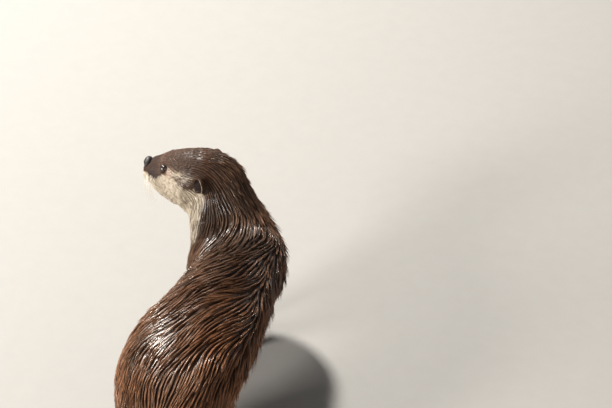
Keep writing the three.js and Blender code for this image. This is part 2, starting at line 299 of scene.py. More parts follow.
def fur_colour(finish, light):
    """The marks' colours, each from its dark end, which is painted shade between the hairs, to its
    light end as `light` runs from 0 to 1.
    """
    dimmed = light * (1 - 0.75 * finish.mark("dusk"))
    brown, chestnut = finish.mix(dimmed, *BROWN), finish.mix(dimmed, *CHESTNUT)
    cream = finish.mix(0.3 + 0.7 * light, *CREAM)
    coat = finish.mix(finish.mark("warm"), brown, chestnut)
    coat = finish.mix(finish.mark("pale"), coat, cream)
    coat = finish.mix(finish.mark("slate"), coat, SLATE_SKIN)
    coat = finish.mix(finish.mark("rose"), coat, ROSE_SKIN)
    return finish.mix(finish.mark("bare"), coat, UMBER_SKIN)


def coat_finish():
    finish = Finish("wet_coat", 0.34, Coat_Roughness=0.2, Specular_IOR_Level=0.25)
    finish.feed("Coat Weight", 0.6 - 0.6 * finish.mark("dusk"))
    # The locks are painted darker towards their roots, as shade where they lie under the next locks,
    # and brighter by their tone.
    light = finish.mark("along") * (0.04 + 0.96 * finish.mark("tone") ** 1.4)
    finish.feed("Base Color", fur_colour(finish, light))
    lay = finish.add("UVMap", {"uv_map": "Lay"}, {})
    inputs = {"Vector": lay, "Scale": 1.6, "Distortion": 1.2}
    hairs = finish.add("TexWave", {"wave_type": "BANDS"}, inputs)
    finish.feed("Roughness", 0.30 + 0.22 * hairs + 0.35 * finish.mark("dusk"))
    finish.bump(hairs, 0.35, 0.0003)
    return finish.material


def skin_finish():
    finish = Finish("skin_and_underfur", 0.8, Specular_IOR_Level=0.2)
    grain = finish.grain(420.0)
    # The skin and underfur take the coat's colours near their dark ends, as painted shade in the gaps
    # between the locks, with a random grain.
    finish.feed("Base Color", fur_colour(finish, 0.02 + 0.2 * grain))
    finish.feed("Roughness", 0.68 + 0.2 * grain)
    finish.bump(grain, 0.5, 0.0005)
    return finish.material


def eye_finish():
    finish = Finish("wet_eye", 0.05, Coat_Weight=1.0, Coat_Roughness=0.02, IOR=1.4)
    black, iris, rim = (0.003, 0.002, 0.002), (0.026, 0.011, 0.006), (0.010, 0.006, 0.004)
    stops = [(0.0, black), (0.24, black), (0.28, iris), (0.50, iris), (0.58, rim), (1.0, rim)]
    ring = finish.mark("ring") + 0.03 * finish.grain(2200.0)
    finish.feed("Base Color", finish.add("ValToRGB", {"stops": stops}, {0: ring}))
    return finish.material


def nose_finish():
    finish = Finish("moist_nose", 0.45, Coat_Weight=0.08, Coat_Roughness=0.35, Specular_IOR_Level=0.35)
    pebbles = finish.add("TexVoronoi", {}, {"Vector": finish.spot(), "Scale": 1300.0})
    # The nose is painted darker in the grooves between its cobbles, as shade.
    finish.feed("Base Color", finish.mix(pebbles, (0.020, 0.014, 0.013), (0.007, 0.005, 0.005)))
    finish.feed("Roughness", 0.36 + 0.3 * pebbles)
    finish.bump(1 - pebbles, 0.5, 0.0003)
    return finish.material


def claw_finish():
    finish = Finish("horn_claw", 0.35)
    grain = finish.grain(900.0)
    horn = finish.mix(finish.mark("along"), (0.030, 0.020, 0.014), (0.20, 0.155, 0.11))
    finish.feed("Base Color", finish.mix(0.4 * grain, horn, (0.05, 0.035, 0.025)))
    finish.bump(grain, 0.2, 0.0002)
    return finish.material


def whisker_finish():
    finish = Finish("whisker", 0.4)
    grain = finish.grain(300.0)
    finish.feed("Base Color", finish.mix(grain, (0.42, 0.36, 0.28), (0.75, 0.70, 0.60)))
    return finish.material


def floor_finish():
    finish = Finish("pale_floor", 0.75)
    grain = finish.grain(40.0)
    finish.feed("Base Color", finish.mix(grain, (0.245, 0.238, 0.225), (0.265, 0.258, 0.245)))
    return finish.material


# ---- meshes


def new_object(name, mesh, material):
    """A smooth object with one material, at the origin."""
    mesh.materials.clear()
    mesh.materials.append(material)
    mesh.shade_smooth()
    piece = bpy.data.objects.new(name, mesh)
    bpy.context.scene.collection.objects.link(piece)
    return piece


def new_mesh(name, points, faces):
    """A mesh from places in the lay-out and sets of faces, each set of one number of corners."""
    faces = [np.asarray(f, np.int32) for f in faces]
    mesh = bpy.data.meshes.new(name)
    mesh.vertices.add(len(points))
    mesh.vertices.foreach_set("co", place(points).astype(np.float32).ravel())
    corners = np.concatenate([f.ravel() for f in faces])
    sizes = np.concatenate([np.full(len(f), f.shape[1]) for f in faces])
    mesh.loops.add(len(corners))
    mesh.loops.foreach_set("vertex_index", corners)
    mesh.polygons.add(len(sizes))
    starts = np.concatenate([[0], np.cumsum(sizes)[:-1]])
    mesh.polygons.foreach_set("loop_start", starts.astype(np.int32))
    mesh.update(calc_edges=True)
    return mesh, corners


def set_mark(mesh, name, values):
    """Lets the mesh carry a number at each of its points."""
    mark = mesh.attributes.new(name, "FLOAT", "POINT")
    mark.data.foreach_set("value", np.asarray(values, np.float32))


def read(items, key, width):
    flat = np.empty(len(items) * width, np.float32)
    items.foreach_get(key, flat)
    return flat.reshape(-1, width).astype(float)


def points_of(mesh):
    return unplace(read(mesh.vertices, "co", 3))


def set_points(mesh, p):
    mesh.vertices.foreach_set("co", place(p).astype(np.float32).ravel())
    mesh.update()


def edges_of(mesh):
    flat = np.empty(len(mesh.edges) * 2, np.int32)
    mesh.edges.foreach_get("vertices", flat)
    return flat.reshape(-1, 2)


def relax(p, edges, rounds, weight):
    """Moves each point towards its neighbours' mean, `rounds` times, by its own weight."""
    a, b = edges.T
    count = np.bincount(edges.ravel(), minlength=len(p))[:, None]
    for _ in range(rounds):
        total = [np.bincount(a, c[b], len(p)) + np.bincount(b, c[a], len(p)) for c in p.T]
        p = p + weight[:, None] * (np.stack(total, axis=1) / np.maximum(count, 1) - p)
    return p


def rings_mesh(name, rings):
    """A closed skin over rings of places, each ring closed on itself, with its faces outwards."""
    rings = np.asarray(rings, float)
    rows, cols = rings.shape[:2]
    j, k = np.meshgrid(np.arange(rows - 1), np.arange(cols), indexing="ij")
    here, beside = j * cols + k, j * cols + (k + 1) % cols
    first, far = rows * cols, (rows - 1) * cols
    points = np.vstack([rings.reshape(-1, 3), rings[0].mean(axis=0), rings[-1].mean(axis=0)])
    k = np.arange(cols)
    faces = [
        np.stack([here, here + cols, beside + cols, beside], axis=-1).reshape(-1, 4),
        np.stack([np.full(cols, first), k, (k + 1) % cols], axis=1),
        np.stack([np.full(cols, first + 1), far + (k + 1) % cols, far + k], axis=1),
    ]
    mesh, _ = new_mesh(name, points, faces)
    shape = bmesh.new()
    shape.from_mesh(mesh)
    bmesh.ops.recalc_face_normals(shape, faces=shape.faces)
    shape.to_mesh(mesh)
    shape.free()
    return mesh


def merged(name, meshes):
    """One mesh of all the given ones, which are used up."""
    whole = bmesh.new()
    for mesh in meshes:
        whole.from_mesh(mesh)
        bpy.data.meshes.remove(mesh)
    mesh = bpy.data.meshes.new(name)
    whole.to_mesh(mesh)
    whole.free()
    return mesh


# ---- the lay of the coat

# Lines that the hair follows, from the nose to the tail tip and down each leg. Each place has the
# body's reach round it, then the coat's depth, the hair's length and the gap between wet ridges.
BODY_LINE = [
    (*in_head(106, 0, 1), 12, 0.5, 3.0, 1.5),
    (*in_head(92, 0, 0), 17, 0.6, 4.0, 1.6),
    (*in_head(74, 0, 0), 25, 0.9, 5.5, 1.8),
    (*in_head(52, 0, 0), 33, 1.3, 8.0, 2.1),
    (*in_head(26, 0, -2), 38, 1.8, 13.0, 2.6),
    (*in_head(2, 0, -3), 40, 2.5, 20.0, 3.0),
    (-26, 352, 174, 50, 3.2, 30.0, 4.0),
    (-9, 338, 140, 56, 3.8, 36.0, 4.6),
    (4, 300, 128, 60, 4.2, 42.0, 5.0),
    (13, 260, 136, 62, 4.5, 46.0, 5.2),
    (18, 204, 149, 66, 4.5, 48.0, 5.3),
    (21, 140, 160, 70, 4.5, 46.0, 5.3),
    (14, 86, 160, 75, 4.3, 42.0, 5.0),
    (11.5, 34, 153, 74, 3.8, 36.0, 4.5),
    (15, -22, 142, 60, 3.2, 30.0, 4.0),
    (14, -66, 122, 42, 2.6, 25.0, 3.2),
    (9, -104, 96, 34, 2.4, 21.0, 3.0),
    (-1, -164, 52, 27, 2.1, 18.0, 2.6),
    (-13, -228, 24, 22, 1.8, 15.0, 2.2),
    (-18, -297, 14, 16, 1.5, 12.0, 1.9),
    (-6, -366, 10, 11, 1.2, 10.0, 1.6),
    (20, -424, 6, 5, 0.8, 6.0, 1.2),
]
FORELEG = dict(middle=-1, joints=((35, 304, 110), (39, 276, 72), (22, 284, 28)))
HINDLEG = dict(middle=10, joints=((32, 6, 122), (41, 56, 84), (39, -10, 36)))
# How far each foot has stepped to the right and ahead.
STRIDE = dict(left_fore=(-5, 14), right_fore=(-9, -6), left_hind=(0, -8), right_hind=(0, 8))
TOE_COAT, EAR_COAT = (8, 0.5, 3.5, 1.3), (9, 0.5, 4.2, 1.3)
LEG_COAT = dict(
    fore=((31, 2.7, 28, 3.8), (22, 2.2, 18, 2.8), (16, 1.4, 10, 2.0), (13, 0.8, 5, 1.5), TOE_COAT),
    hind=((43, 2.9, 32, 4.0), (28, 2.4, 20, 3.0), (16, 1.5, 10, 2.0), (14, 0.9, 5.5, 1.5), TOE_COAT),
)
PAW = dict(
    fore=dict(length=52, width=24, height=13, toe=23, toe_radius=6.8, spread=12, back=-2),
    hind=dict(length=100, width=27, height=15, toe=36, toe_radius=7.4, spread=13, back=-8),
)
FOOT = dict(fore=dict(ahead=29, toes=58), hind=dict(ahead=56, toes=104))


def leg_joints(side, end):
    """The leg's upper joint, its middle joint and its ankle."""
    sign = -SIGN[side]
    sizes = FORELEG if end == "fore" else HINDLEG
    stride = STRIDE[f"{side}_{end}"]
    return [
        (sizes["middle"] + x * sign + stride[0] * i / 2, y + stride[1] * i / 2, z)
        for i, (x, y, z) in enumerate(sizes["joints"])
    ]


def leg_line(side, end):
    sign = -SIGN[side]
    joints = leg_joints(side, end)
    x, y, _ = joints[2]
    joints += [(x + 2 * sign, y + FOOT[end]["ahead"], 9), (x + 3 * sign, y + FOOT[end]["toes"], 6)]
    return [(*j, *coat) for j, coat in zip(joints, LEG_COAT[end])]


LEGS = [(side, end) for side in SIGN for end in ("fore", "hind")]
LINES = [BODY_LINE] + [leg_line(*leg) for leg in LEGS]
STARTS = np.array([a for line in LINES for a in line[:-1]])
ENDS = np.array([b for line in LINES for b in line[1:]])
SEGMENT_LINE = np.array([i for i, line in enumerate(LINES) for _ in line[:-1]])


def runs(places):
    """How far along a line each of its places is."""
    return np.concatenate([[0], np.cumsum(norm(np.diff(places, axis=0)))])


SEGMENT_FROM = np.concatenate([runs(np.array(line)[:, :3])[:-1] for line in LINES])


def survey(p):
    """The coat at each place of the body and the way it lies, with the nearest line, how far along
    that line the place is and the line's own nearest place."""
    best = np.full(len(p), np.inf)
    coat, lie, centre = np.zeros((len(p), 4)), np.zeros((len(p), 3)), np.zeros((len(p), 3))
    line, run = np.zeros(len(p), int), np.zeros(len(p))
    for s, (a, b) in enumerate(zip(STARTS, ENDS)):
        way = b[:3] - a[:3]
        length = np.linalg.norm(way)
        t = np.clip((p - a[:3]) @ way / length**2, 0, 1)
        near = a[:3] + t[:, None] * way
        sizes = a[3:] + t[:, None] * (b[3:] - a[3:])
        far = norm(p - near) / sizes[:, 0]
        lie += np.exp(-4 * far**2)[:, None] * way / length
        closer = far < best
        best[closer] = far[closer]
        coat[closer] = sizes[closer]
        line[closer] = SEGMENT_LINE[s]
        run[closer] = SEGMENT_FROM[s] + t[closer] * length
        centre[closer] = near[closer]
    return coat, unit(lie), line, run, centre


def ripple(p, *waves):
    """A slow change over the body: a sum of waves, each its three rates and its share."""
    return sum(share * np.sin(p @ np.array(rates) + 1.7 * i) for i, (rates, share) in enumerate(waves))


def lie_of_coat(p, normals):
    """The way the hair lies: backwards, down the flanks, and a little to the left over the back."""
    _, lie, line, _, _ = survey(p)
    up = smoothstep(-0.2, 0.7, normals[:, 2])
    flank = 1 - np.abs(normals[:, 2])
    back = smoothstep(-30, 60, p[:, 1]) * (1 - smoothstep(290, 345, p[:, 1])) * (line == 0)
    lie = lie + (back * up * 0.42)[:, None] * np.array((-1, 0, 0))
    down = smoothstep(-120, -20, p[:, 1]) * (p[:, 2] > 40) * flank * 0.4
    lie = lie + down[:, None] * np.array((0, 0, -1.0))
    waves = ((0.05, 0.035, 0.02), 0.13), ((-0.09, 0.06, 0.05), 0.10), ((0.16, -0.13, 0.12), 0.05)
    sway = ripple(p, *waves)
    lie = lie + sway[:, None] * np.cross(normals, unit(lie))
    lie -= np.sum(lie * normals, axis=1, keepdims=True) * normals
    return unit(lie)


# ---- markings

# The edge of the pale cheek: how far ahead, and how high it reaches there.
CHEEK_EDGE = np.array(
    [
        (9, -5), (18, -3), (24, 0.5), (32, -2.6), (42, -0.2), (53, 7), (63, 10), (73, 6),
        (79, 3), (81, 0), (84, -5), (92, -3.5), (100, -3.2), (112, -2.5),
    ]
)  # fmt: skip
# The neck from its root to the skull: its middle, the way the throat faces, and how far round the
# pale throat ends, as the cosine of the angle from the way it faces.
THROAT = [
    ((6, 318, 124), (-0.32, 0.43, -0.84), 0.90),
    ((-9, 338, 140), (-0.50, 0.35, -0.75), 0.74),
    ((-26, 352, 174), (-0.80, 0.10, -0.50), 0.46),
    ((-43, 371, 211), (-0.924, -0.233, -0.303), 0.20),
]


def throat_share(p):
    """How far inside the pale throat each place is, and how far down the neck."""
    best = np.full(len(p), np.inf)
    inside, down = np.zeros(len(p)), np.zeros(len(p))
    for i, ((a, face_a, edge_a), (b, face_b, edge_b)) in enumerate(zip(THROAT, THROAT[1:])):
        a, b, face_a, face_b = map(np.array, (a, b, face_a, face_b))
        t = np.clip((p - a) @ (b - a) / ((b - a) @ (b - a)), 0, 1)
        off = p - (a + t[:, None] * (b - a))
        far = norm(off)
        faces = unit(face_a + t[:, None] * (face_b - face_a))
        closer = far < best
        best[closer] = far[closer]
        facing = np.sum(off * faces, axis=1) / np.maximum(far, 1e-6)
        inside[closer] = (facing - edge_a - t * (edge_b - edge_a))[closer]
        down[closer] = (i + t)[closer]
    return inside, down


def markings(p):
    """The marks of skin and coat at each place, from 0 to 1."""
    ahead, out, over = to_head(p).T
    out = np.abs(out)
    ragged = ripple(p, ((0.9, 0.5, -0.7), 1.0), ((-0.35, 0.6, 0.5), 1.1))
    cheek = smoothstep(-2.1, 2.1, np.interp(ahead, *CHEEK_EDGE.T) - over + ragged)
    cheek = cheek * smoothstep(8.0, 11.0, ahead + 0.5 * ragged) * (over > -60)
    inside, down = throat_share(p)
    throat = smoothstep(-0.025, 0.025, inside + 0.02 * ragged) * smoothstep(0.6, 1.9, down)
    side_of_neck = smoothstep(-0.42, -0.1, inside) * smoothstep(0.9, 1.5, down)
    side_of_neck = side_of_neck * (1 - smoothstep(1.8, 2.3, down))
    belly = smoothstep(0.0, 1.0, (70 - p[:, 2]) / 60) * (p[:, 1] > 40) * (p[:, 1] < 320)
    pale = np.maximum(cheek, throat * (1 - smoothstep(-9.0, -4.0, over)))
    pale = np.maximum.reduce([pale, 0.26 * side_of_neck, 0.10 * belly])
    muzzle = smoothstep(80, 90, ahead) * (1 - pale)
    crown = smoothstep(0, 13, over - 12 + 0.08 * (ahead - 40)) * smoothstep(-10, 10, ahead)
    crown = crown * (1 - smoothstep(115, 125, norm(to_head(p))))
    patch = hill((ahead, 88, 9), (over, 2, 8)) * smoothstep(12, 20, out)
    eye_corner = norm(np.stack([ahead - 66, out - 32, over - 12], axis=1))
    # A streaky pale band behind the eye, towards the ear, is painted sheen of wet fur, put into the
    # pale mark.
    painted_sheen_band = hill((over - 0.05 * (ahead - 40), 12.5, 5.0)) * (out > 8)
    painted_sheen_band = painted_sheen_band * smoothstep(26, 40, ahead) * (1 - smoothstep(64, 72, ahead))
    sheen_streaks = np.sin(2.3 * over + 0.35 * ahead + 1.1 * out) * np.sin(0.9 * over - 0.21 * ahead)
    pale = np.maximum(pale, 0.85 * painted_sheen_band * smoothstep(0.30, 0.65, 0.5 + 0.5 * sheen_streaks))
    rear, trunk = 1 - smoothstep(20, 170, p[:, 1]), 1 - smoothstep(230, 320, p[:, 1])
    right_flank = smoothstep(20, 70, p[:, 0]) * (p[:, 1] < 330)
    behind_throat = smoothstep(-0.30, -0.06, inside) * (inside < 0) * smoothstep(1.9, 2.2, down)
    slow = ripple(p, ((0.031, 0.024, 0.02), 0.5), ((-0.05, 0.043, 0.06), 0.5))
    warm = 0.12 + 0.22 * trunk + 0.08 * rear + 0.45 * right_flank + 0.20 * slow
    warm = warm + 0.6 * behind_throat + 0.45 * np.maximum(crown, muzzle)
    marks = dict(
        dusk=np.maximum(0.72 * crown, 0.95 * muzzle),
        pale=pale,
        warm=warm,
        slate=0.70 * patch + 0.05 * muzzle,
        rose=0.30 * hill((eye_corner, 0, 6.5)),
    )
    return {name: np.clip(values, 0, 1) for name, values in marks.items()}


# ---- the skin

FLESH = [
    n
    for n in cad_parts
    if not (n.endswith("_eye") or n.endswith("_ear") or n == "nose" or "_claw_" in n)
]
GROWTH = 0.0005  # closes the thin gaps between the solids
VOXEL = 0.0029
EYE_AT = {side: in_head(EYE["ahead"], EYE["out"] * sign, EYE["over"]) for side, sign in SIGN.items()}
GAZE = {side: unit(head_way(0.50, 0.80 * sign, 0.34)) for side, sign in SIGN.items()}
LIDS = dict(across=math.radians(42), up=math.radians(31))  # half the opening, seen from the eyeball
EYE_REACH = 16  # how far round an eyeball its lids are shaped
# Where the facets are finer: the face from here on, and this near to a toe or an eye.
FACE_FROM, TOE_ROOM, EYE_ROOM = 52, 17, 12


def grown(name):
    """A copy of one solid's mesh, a little larger, so that it overlaps its neighbours."""
    part = bmesh.new()
    part.from_mesh(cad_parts[name].data)
    bmesh.ops.remove_doubles(part, verts=part.verts, dist=1e-6)
    part.normal_update()
    for v in part.verts:
        v.co += v.normal * GROWTH
    copy = bpy.data.meshes.new(name)
    part.to_mesh(copy)
    part.free()
    return copy


def evaluated(thing):
    """The mesh of an object after its modifiers."""
    return bpy.data.meshes.new_from_object(thing.evaluated_get(bpy.context.evaluated_depsgraph_get()))


def joined_flesh():
    """All the flesh as one closed mesh of even facets."""
    mesh = merged("flesh", [grown(name) for name in FLESH])
    flesh = bpy.data.objects.new("flesh", mesh)
    bpy.context.scene.collection.objects.link(flesh)
    remesh = flesh.modifiers.new("even", "REMESH")
    remesh.mode = "VOXEL"
    remesh.voxel_size = VOXEL
    even = evaluated(flesh)
    bpy.data.objects.remove(flesh)
    bpy.data.meshes.remove(mesh)
    return even


def refine(mesh, chosen):
    """Splits the facets whose corners `chosen` all picks, so that fine shapes have room."""
    shape = bmesh.new()
    shape.from_mesh(mesh)
    shape.verts.ensure_lookup_table()
    edges = [e for e in shape.edges if all(chosen[v.index] for v in e.verts)]
    bmesh.ops.subdivide_edges(shape, edges=edges, cuts=1, use_grid_fill=True)
    bmesh.ops.triangulate(shape, faces=[f for f in shape.faces if len(f.verts) > 4])
    shape.to_mesh(mesh)
    shape.free()


def lid_opening(p, side):
    """How far outside the lids' opening each place is, as seen from the eyeball: 1 on its edge."""
    gaze = GAZE[side]
    across = unit(FORWARD - (FORWARD @ gaze) * gaze)
    up = np.cross(gaze, across)
    up = up if up @ HEAD_UP > 0 else -up
    off = p - EYE_AT[side]
    ahead = off @ gaze
    x, y = np.arctan2(off @ across, ahead), np.arctan2(off @ up, ahead)
    corner = 1 + 0.35 * smoothstep(0.3, 1.0, x / LIDS["across"])
    x = x / LIDS["across"] / corner
    y = (y + 0.10 * x) / LIDS["up"] * (1 + 0.5 * np.maximum(x, 0) ** 2)
    reach = np.sqrt(x**2 + y**2)
    return np.where(ahead > 0, reach, np.maximum(reach, 3)), norm(off)


def near_eye(p):
    """How far outside the nearer eye's opening each place is: 1 on its edge, over 10 far from it."""
    ways = (lid_opening(p, side) for side in SIGN)
    return np.minimum(*(opening + 10 * (radius > EYE_REACH) for opening, radius in ways))


def lip_line(out):
    """How high the mouth's line is: an arch under the nose that drops to each side."""
    return -11.5 - 6.5 * smoothstep(0, 15, out) - 0.06 * np.maximum(out - 15, 0)


def toe_lines(side, end):
    """The root, the tip and the heading of each toe."""
    sizes = PAW[end]
    sign = -SIGN[side]
    ankle = np.array(leg_joints(side, end)[2])
    heel = np.array((ankle[0], ankle[1] + sizes["back"], sizes["height"] * 0.72))
    knuckles = heel + (3 * sign, sizes["length"] - sizes["toe"], -2)
    toes = []
    for i in range(5):
        turn = math.radians((i - 2) * sizes["spread"]) * sign
        heading = np.array((math.sin(turn), math.cos(turn), 0))
        root = knuckles + (heading[0] * sizes["width"] * 0.9, heading[1] * 4 - 6, 0)
        tip = root + heading * sizes["toe"] * (1 - 0.09 * abs(i - 2.3))
        tip[2] = sizes["toe_radius"] - 0.9
        toes.append((root, tip, heading))
    return toes


def sculpt_toes(p, normals):
    """Parts the toes of each paw with grooves over the web and rounds each toe's back."""
    for leg in LEGS:
        far, along = [], []
        for root, tip, _ in toe_lines(*leg):
            way = (tip - root)[:2]
            t = np.clip((p[:, :2] - root[:2]) @ way / (way @ way), -0.5, 1.3)
            far.append(norm(p[:, :2] - root[:2] - t[:, None] * way))
            along.append(t)
        nearest, second = np.sort(far, axis=0)[:2]
        share = np.take_along_axis(np.array(along), np.argmin(far, axis=0)[None], axis=0)[0]
        active = (nearest < 12) & (p[:, 2] < 26) & (normals[:, 2] > -0.5)
        swell = 1.3 * hill((nearest, 0, 3.0)) - 4.4 * hill((second - nearest, 0, 2.3))
        p = p + (smoothstep(-0.1, 0.5, share) * active * swell)[:, None] * normals
    return p


def sculpt_face(p, normals):
    """Brings the lids, brows, lips, whisker pads and the seat of the nose out of the plain head."""
    ahead, out, over = to_head(p).T
    side_out = np.abs(out)
    lip = lip_line(side_out)
    swell = 0.9 * hill((ahead, 92, 8), (side_out, 14, 7), (over, -7, 6))
    swell += 0.7 * hill((ahead, 72, 9), (side_out, 22, 6), (over, 20, 4.5))
    swell -= 1.0 * hill((ahead, 83, 6), (side_out, 20, 6), (over, 7, 6))
    swell -= 1.5 * hill((over, lip, 1.3)) * smoothstep(66, 74, ahead)
    swell += 0.6 * hill((over - lip, 3.2, 1.8)) * smoothstep(64, 72, ahead)
    swell += 2.5 * hill((ahead, 98, 6), (side_out, 0, 9), (over, 11, 5))
    under_nose = smoothstep(96, 101, ahead) * smoothstep(-14, -10, over) * (over < 0)
    swell -= 1.3 * hill((side_out, 0, 1.1)) * under_nose
    p = p + swell[:, None] * normals
    for side in SIGN:
        opening, radius = lid_opening(p, side)
        off = p - EYE_AT[side]
        near = 1 - smoothstep(1.15, 3.2, opening)
        lid = np.maximum(radius, EYE["radius"] + 0.75)
        inner = EYE["radius"] - 2.2
        wanted = np.where(opening < 1, inner, radius + (lid - radius) * near)
        active = (radius < EYE_REACH) & (off @ GAZE[side] > -2)
        wanted = np.where(active, wanted, radius)
        p = EYE_AT[side] + off * (wanted / np.maximum(radius, 1e-6))[:, None]
    return p


def ear_frame(side):
    """An ear's middle, and the way it opens."""
    sign = SIGN[side]
    middle = in_head(EAR["ahead"], EAR["out"] * sign, EAR["over"])
    return middle, unit(head_way(0.55, 0.83 * sign, 0))


def ear_mesh(side):
    """A cupped ear that opens forwards and outwards, with its back against the skull."""
    sign = SIGN[side]
    centre, opens = ear_frame(side)
    up = head_way(0, 0.25 * sign, 1.0)
    up = unit(up - (up @ opens) * opens)
    across = np.cross(up, opens) * sign
    profile = [
        (-7.5, 0.50), (-6.0, 0.72), (-4.2, 0.87), (-2.2, 0.95), (-0.4, 1.00), (0.5, 0.99), (0.9, 0.95),
        (0.6, 0.90), (-0.6, 0.85), (-2.4, 0.77), (-4.0, 0.62), (-5.2, 0.40), (-5.8, 0.18),
    ]  # fmt: skip
    sides = 40
    turn = np.linspace(0, 2 * math.pi, sides, endpoint=False)
    leaf = 1 + 0.06 * np.cos(3 * turn + 0.4)
    rings = []
    for depth, scale in profile:
        bowl = depth - 2.2 * (1 - np.sin(turn)) * 0.5 + 1.2 * np.cos(turn) ** 2 * (depth > -2)
        rings.append(
            centre
            + (EAR["width"] * scale * leaf * np.cos(turn))[:, None] * across
            + (EAR["height"] * scale * leaf * np.sin(turn))[:, None] * up
            + bowl[:, None] * opens
        )
    rows = np.repeat(np.arange(len(profile)), sides)
    front = np.tile(smoothstep(-0.2, 0.5, np.cos(turn)), len(profile))
    inside = np.concatenate([smoothstep(6.5, 9.0, rows), [0, 1]])
    rim = np.concatenate([hill((rows, 6, 1.2)) * front, [0, 0]])
    return rings_mesh(f"{side}_ear", rings), inside, rim


def in_ear_opening(p):
    """Whether each place is in front of an ear's hollow."""
    found = np.zeros(len(p), bool)
    for side in SIGN:
        middle, opens = ear_frame(side)
        off = p - middle
        depth = off @ opens
        up = off @ HEAD_UP
        across = norm(off - depth[:, None] * opens - up[:, None] * HEAD_UP)
        wide = np.hypot(across / EAR["width"], up / EAR["height"])
        found |= (wide < 0.86) & (depth > -7) & (depth < 12)
    return found


def join_ears(skin):
    """The skin with its ears, and which points are ear, hollow and pale rim."""
    meshes, marks = [skin], [np.zeros(len(skin.vertices))] * 3
    for side in SIGN:
        mesh, inside, rim = ear_mesh(side)
        meshes.append(mesh)
        marks = [np.concatenate(pair) for pair in zip(marks, (np.ones(len(inside)), inside, rim))]
    return merged("skin", meshes), *marks


skin = joined_flesh()
p = points_of(skin)
ahead = to_head(p)[:, 0]
p = relax(p, edges_of(skin), 12, np.clip(survey(p)[0][:, 0] / 60, 0.10, 0.6))
set_points(skin, p)
refine(skin, (ahead > FACE_FROM) & in_reach(p))
p = points_of(skin)
eye_reach = np.min([norm(p - at) for at in EYE_AT.values()], axis=0)
toes = [0.4 * root + 0.6 * tip for leg in LEGS for root, tip, _ in toe_lines(*leg)]
toe_reach = np.min([norm(p - toe) for toe in toes], axis=0)
ahead, _, over = to_head(p).T
mouth = (ahead > 62) & (over < -6) & (over > -22) & in_reach(p)
refine(skin, (toe_reach < TOE_ROOM) | (eye_reach < EYE_ROOM) | mouth)
p = points_of(skin)
coat, *_ = survey(p)
p = relax(p, edges_of(skin), 14, np.clip(coat[:, 0] / 60, 0.12, 0.6))
set_points(skin, p)
# The skin lies under the solids by the coat's depth, but for the soles.
sole = 1 - smoothstep(2.0, 6.0, p[:, 2])
set_points(skin, p - read(skin.vertex_normals, "vector", 3) * (coat[:, 1] * (1 - sole))[:, None])
for sculpt in (sculpt_toes, sculpt_face):
    p = sculpt(points_of(skin), read(skin.vertex_normals, "vector", 3))
    p[:, 2] = np.maximum(p[:, 2], 0.0)
    set_points(skin, p)
skin, is_ear, in_ear, ear_rim = join_ears(skin)

p = points_of(skin)
ahead, out, over = to_head(p).T
skin_marks = markings(p)
under_nose_pad = norm((to_head(p) - NOSE_SEAT) / NOSE_SIZE) < 1
lid_edge = 1 - smoothstep(1.10, 1.24, near_eye(p))
lips = hill((over, lip_line(np.abs(out)), 1.2)) * smoothstep(66, 72, ahead) * (np.abs(out) < 32)
pads_under = (p[:, 2] < 1.2) & (survey(p)[2] > 0)
hollow = in_ear_opening(p) * (1.0 - is_ear)
bare = [in_ear, hollow, lid_edge, 0.8 * lips, 1.0 * under_nose_pad, 0.8 * pads_under]
skin_marks["bare"] = np.clip(np.maximum.reduce(bare), 0, 1)
skin_marks["pale"] = np.maximum(skin_marks["pale"] * (1 - is_ear), 0.8 * ear_rim)
skin_marks["tone"] = np.full(len(p), 0.25)
for name, values in skin_marks.items():
    set_mark(skin, name, values)


# ---- the coat

skin.calc_loop_triangles()
triangles = np.empty(len(skin.loop_triangles) * 3, np.int32)
skin.loop_triangles.foreach_get("vertices", triangles)
triangles = triangles.reshape(-1, 3)
corners = p[triangles]
cross = np.cross(corners[:, 1] - corners[:, 0], corners[:, 2] - corners[:, 0])
areas = 0.5 * norm(cross)
middles = corners.mean(axis=1)
face_normals = unit(read(skin.vertex_normals, "vector", 3)[triangles].mean(axis=1))
face_coat, _, face_line, face_run, _ = survey(middles)
face_lie = lie_of_coat(middles, face_normals)
face_ear = is_ear[triangles].min(axis=1) > 0
face_coat[face_ear] = EAR_COAT
outwards = np.sign(to_head(middles)[:, 1])
ear_way = head_way(*np.broadcast_arrays(0.5, 0.55 * outwards, 0.5))
ear_way -= np.sum(ear_way * face_normals, axis=1, keepdims=True) * face_normals
face_lie[face_ear] = unit(ear_way)[face_ear]
bald = skin_marks["bare"][triangles].max(axis=1) > 0.5
soles = (face_normals[:, 2] < -0.7) & (middles[:, 2] < 3)
haired = ~(bald | soles)
tree = BVHTree.FromPolygons([Vector(v) for v in p], triangles.tolist())


